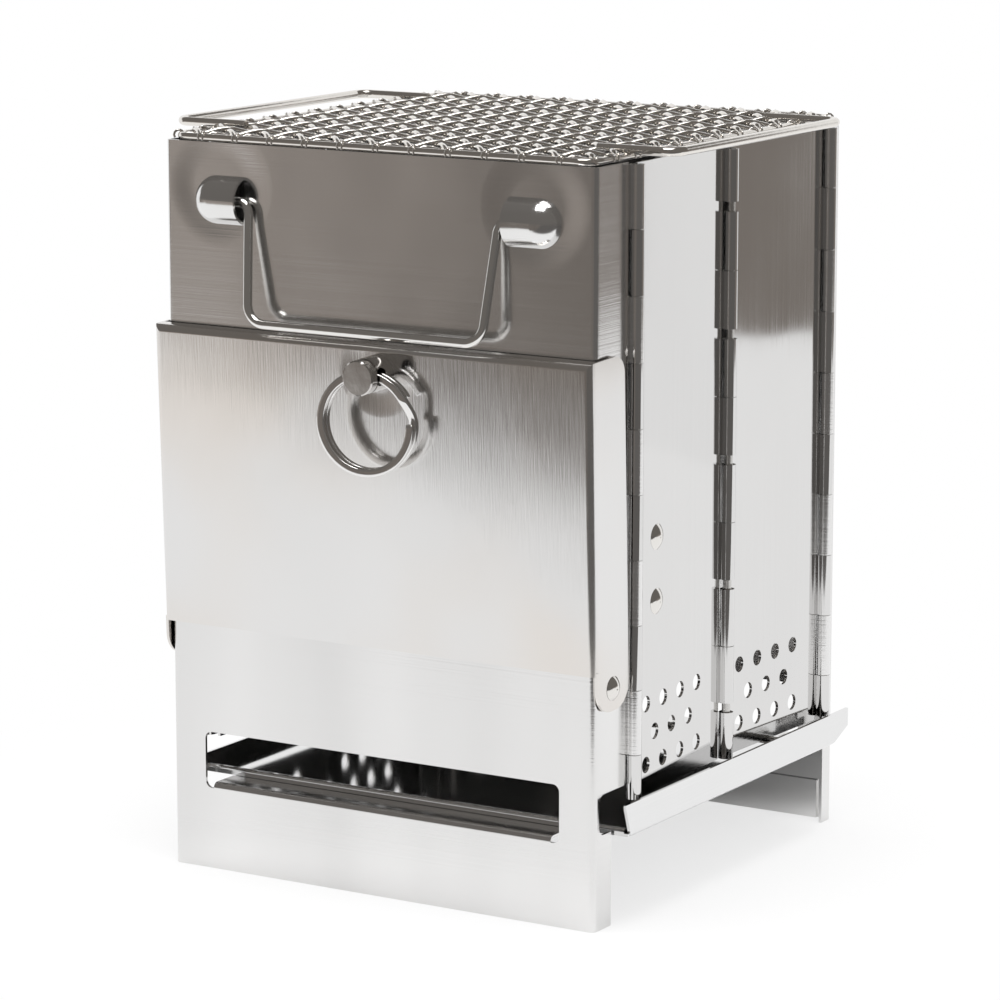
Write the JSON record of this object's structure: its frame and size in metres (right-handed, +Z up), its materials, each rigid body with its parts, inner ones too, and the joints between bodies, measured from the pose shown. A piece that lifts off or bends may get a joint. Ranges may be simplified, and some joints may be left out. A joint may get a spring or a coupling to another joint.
{
  "type": "folding camping stove",
  "caption": "Upright square folding wood stove of thin stainless sheet with hinged side leaves, feed door, carrying bail, sliding ash tray and a lift-off wire grill.",
  "frame": {"origin": "on the ground, in the middle of the stove's outline seen from above, knob and handles included", "axes": "+X to the stove's right, the side its ash tray pulls out of; +Y from the front, with the feed door, to the back; +Z up"},
  "size_m": [0.158, 0.1504, 0.2039],
  "materials": {
    "panel_steel": "stainless sheet, fine brushed",
    "leaf_steel": "stainless sheet, fine brushed",
    "door_steel": "stainless sheet, upright brushing",
    "tray_steel": "stainless sheet, bright",
    "bracket_steel": "stainless sheet",
    "pin_steel": "drawn steel pin",
    "rivet_steel": "polished rivet head",
    "knob_steel": "turned and polished",
    "ring_steel": "nickel-plated spring wire",
    "bail_wire": "polished wire",
    "grill_wire": "bright wire"
  },
  "bodies": {
    "front": {"front_panel": "panel_steel", "front_hinge_pins": "pin_steel", "door_pivot_rivets": "rivet_steel"},
    "right_front": {"right_front_leaf": "leaf_steel", "right_bracket": "bracket_steel", "right_bracket_rivets": "rivet_steel", "right_middle_pin": "pin_steel"},
    "right_rear": {"right_rear_leaf": "leaf_steel"},
    "rear": {"rear_panel": "panel_steel", "rear_hinge_pins": "pin_steel"},
    "left_front": {"left_front_leaf": "leaf_steel", "left_bracket": "bracket_steel", "left_bracket_rivets": "rivet_steel", "left_middle_pin": "pin_steel"},
    "left_rear": {"left_rear_leaf": "leaf_steel"},
    "tray": {"ash_tray": "tray_steel"},
    "door": {"feed_door": "door_steel", "door_knob": "knob_steel"},
    "ring": {"split_ring": "ring_steel"},
    "bail": {"carry_bail": "bail_wire"},
    "grill": {"grill_rim": "grill_wire", "grill_net": "grill_wire", "grill_loop_right": "grill_wire", "grill_loop_left": "grill_wire"}
  },
  "joints": [
    {"name": "tray_slide", "type": "slide", "parent": "front", "child": "tray", "axis": [1, 0, 0], "range_m": [0, 0.4312]},
    {"name": "right_front_fold", "type": "hinge", "parent": "front", "child": "right_front", "pos_m": [0.068, -0.04158, 0], "axis": [0, 0, 1], "range_deg": [0, 84]},
    {"name": "right_middle_fold", "type": "hinge", "parent": "right_front", "child": "right_rear", "pos_m": [0.06611, 0.01239, 0], "axis": [0, 0, 1], "range_deg": [-167.9, 0]},
    {"name": "right_rear_fold", "type": "hinge", "parent": "right_rear", "child": "rear", "pos_m": [0.068, 0.06636, 0], "axis": [0, 0, 1], "range_deg": [0, 84]},
    {"name": "left_front_fold", "type": "hinge", "parent": "front", "child": "left_front", "pos_m": [-0.068, -0.04158, 0], "axis": [0, 0, 1], "range_deg": [-84, 0]},
    {"name": "left_middle_fold", "type": "hinge", "parent": "left_front", "child": "left_rear", "pos_m": [-0.06611, 0.01239, 0], "axis": [0, 0, 1], "range_deg": [0, 168]},
    {"name": "door_hinge", "type": "hinge", "parent": "front", "child": "door", "pos_m": [0, -0.05287, 0.0642], "axis": [1, 0, 0], "range_deg": [0, 66]},
    {"name": "ring_swing", "type": "hinge", "parent": "door", "child": "ring", "pos_m": [0.0039, -0.0702, 0.14322], "axis": [-0.9945, -0.1045, 0], "range_deg": [-4, 110]},
    {"name": "bail_swing", "type": "hinge", "parent": "front", "child": "bail", "pos_m": [0, -0.06177, 0.1848], "axis": [-1, 0, 0], "range_deg": [-8, 165]},
    {"name": "grill_lift", "type": "slide", "parent": "front", "child": "grill", "axis": [0, 0, 1], "range_m": [0, 0.1]}
  ],
  "couplings": [
    {"joint": "right_front_fold", "follows": "right_middle_fold", "ratio": -0.5},
    {"joint": "right_rear_fold", "follows": "right_middle_fold", "ratio": -0.5},
    {"joint": "left_front_fold", "follows": "right_middle_fold", "ratio": 0.5},
    {"joint": "left_middle_fold", "follows": "right_middle_fold", "ratio": -1},
    {"joint": "tray_slide", "follows": "right_middle_fold", "m_per_rad": -0.14706}
  ]
}
